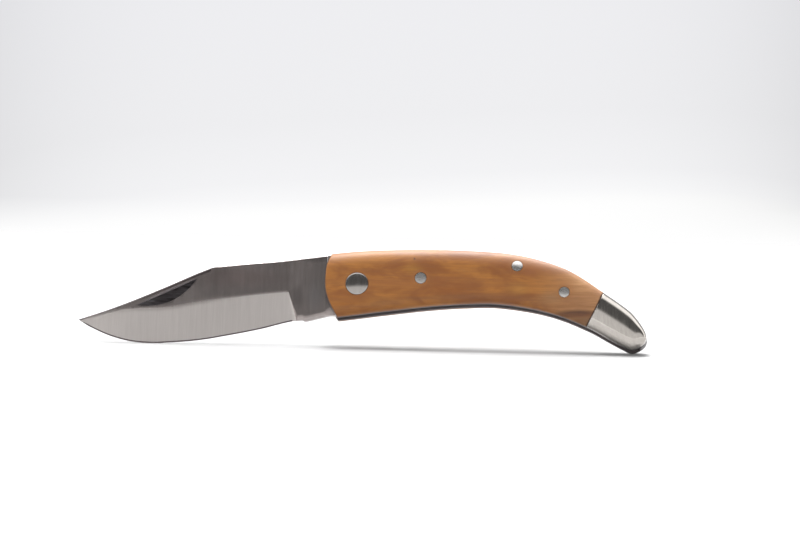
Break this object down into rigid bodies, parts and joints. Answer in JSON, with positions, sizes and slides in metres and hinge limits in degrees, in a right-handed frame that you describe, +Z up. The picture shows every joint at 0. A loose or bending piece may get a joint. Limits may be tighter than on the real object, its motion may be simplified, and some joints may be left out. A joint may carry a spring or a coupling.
{
  "type": "folding knife",
  "caption": "Slipjoint folding knife with a clip-point blade, nail nick, curved wood scales over steel liners and a steel butt bolster.",
  "frame": {"origin": "midpoint of the open knife's length and thickness, on the ground plane that the blade's belly and the butt touch", "axes": "+X from the blade's tip toward the butt, +Z up toward the spine, -Y out of the side with the nail nick"},
  "size_m": [0.16, 0.0116, 0.0277],
  "materials": {
    "blade_steel": "satin flats, bevel ground lengthwise to a fine satin",
    "spring_steel": "satin",
    "liner_steel": "satin edge",
    "bolster_steel": "fine satin",
    "pivot_steel": "polished",
    "pin_steel": "ground flush and polished",
    "washer_bronze": "plain",
    "olive_wood": "oiled and buffed, fine lengthwise grain"
  },
  "bodies": {
    "handle": {"liner_front": "liner_steel", "liner_back": "liner_steel", "scale_front": "olive_wood", "scale_back": "olive_wood", "bolster_front": "bolster_steel", "bolster_back": "bolster_steel", "pivot_barrel": "pivot_steel", "pivot_rivet": "pivot_steel", "pivot_washer_front": "washer_bronze", "pivot_washer_back": "washer_bronze", "spring_pin_middle": "pin_steel", "spring_pin_rear": "pin_steel", "scale_pin_fore_front": "pin_steel", "scale_pin_fore_back": "pin_steel", "scale_pin_aft_front": "pin_steel", "scale_pin_aft_back": "pin_steel", "bolster_rivet_upper_front": "pin_steel", "bolster_rivet_lower_front": "pin_steel", "bolster_rivet_upper_back": "pin_steel", "bolster_rivet_lower_back": "pin_steel"},
    "folding_blade": {"blade": "blade_steel"},
    "flexing_spring": {"backspring": "spring_steel"}
  },
  "joints": [
    {"name": "blade_fold", "type": "hinge", "parent": "handle", "child": "folding_blade", "pos_m": [-0.00128, 0, 0.01691], "axis": [0, -1, 0], "range_deg": [0, 163], "deforming": ["backspring"]},
    {"name": "backspring_flex", "type": "hinge", "parent": "handle", "child": "flexing_spring", "pos_m": [0.04342, 0, 0.02286], "axis": [0, 1, 0], "range_deg": [0, 1], "stiffness_Nm_per_rad": 50, "deforming": ["backspring"]}
  ]
}
